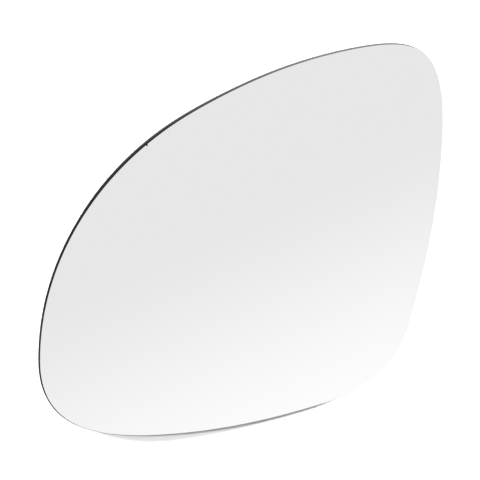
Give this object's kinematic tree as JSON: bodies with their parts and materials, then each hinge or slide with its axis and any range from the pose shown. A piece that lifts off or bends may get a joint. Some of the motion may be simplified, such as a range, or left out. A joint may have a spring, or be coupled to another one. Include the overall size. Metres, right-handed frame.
{
  "type": "car door mirror glass",
  "caption": "Convex mirror glass for a car's left door mirror, bonded to a ribbed backing plate whose sprung clip ring snaps onto the mirror's adjuster.",
  "frame": {"origin": "middle of the outline's box and axis of the clip ring, at the ring's foot, where the part rests on its back", "axes": "+Z out of the mirror face, +Y the car's upward direction when fitted, +X towards the car"},
  "size_m": [0.1829, 0.1636, 0.0134],
  "materials": {
    "silvered_glass": "first-quality silvered glass, ground edge",
    "foam_pad": "closed-cell foam with adhesive on both faces",
    "moulded_backing": "fine moulded texture"
  },
  "bodies": {
    "root": {"mirror_glass": "silvered_glass", "adhesive_pad": "foam_pad", "backing_plate": "moulded_backing"}
  },
  "joints": []
}
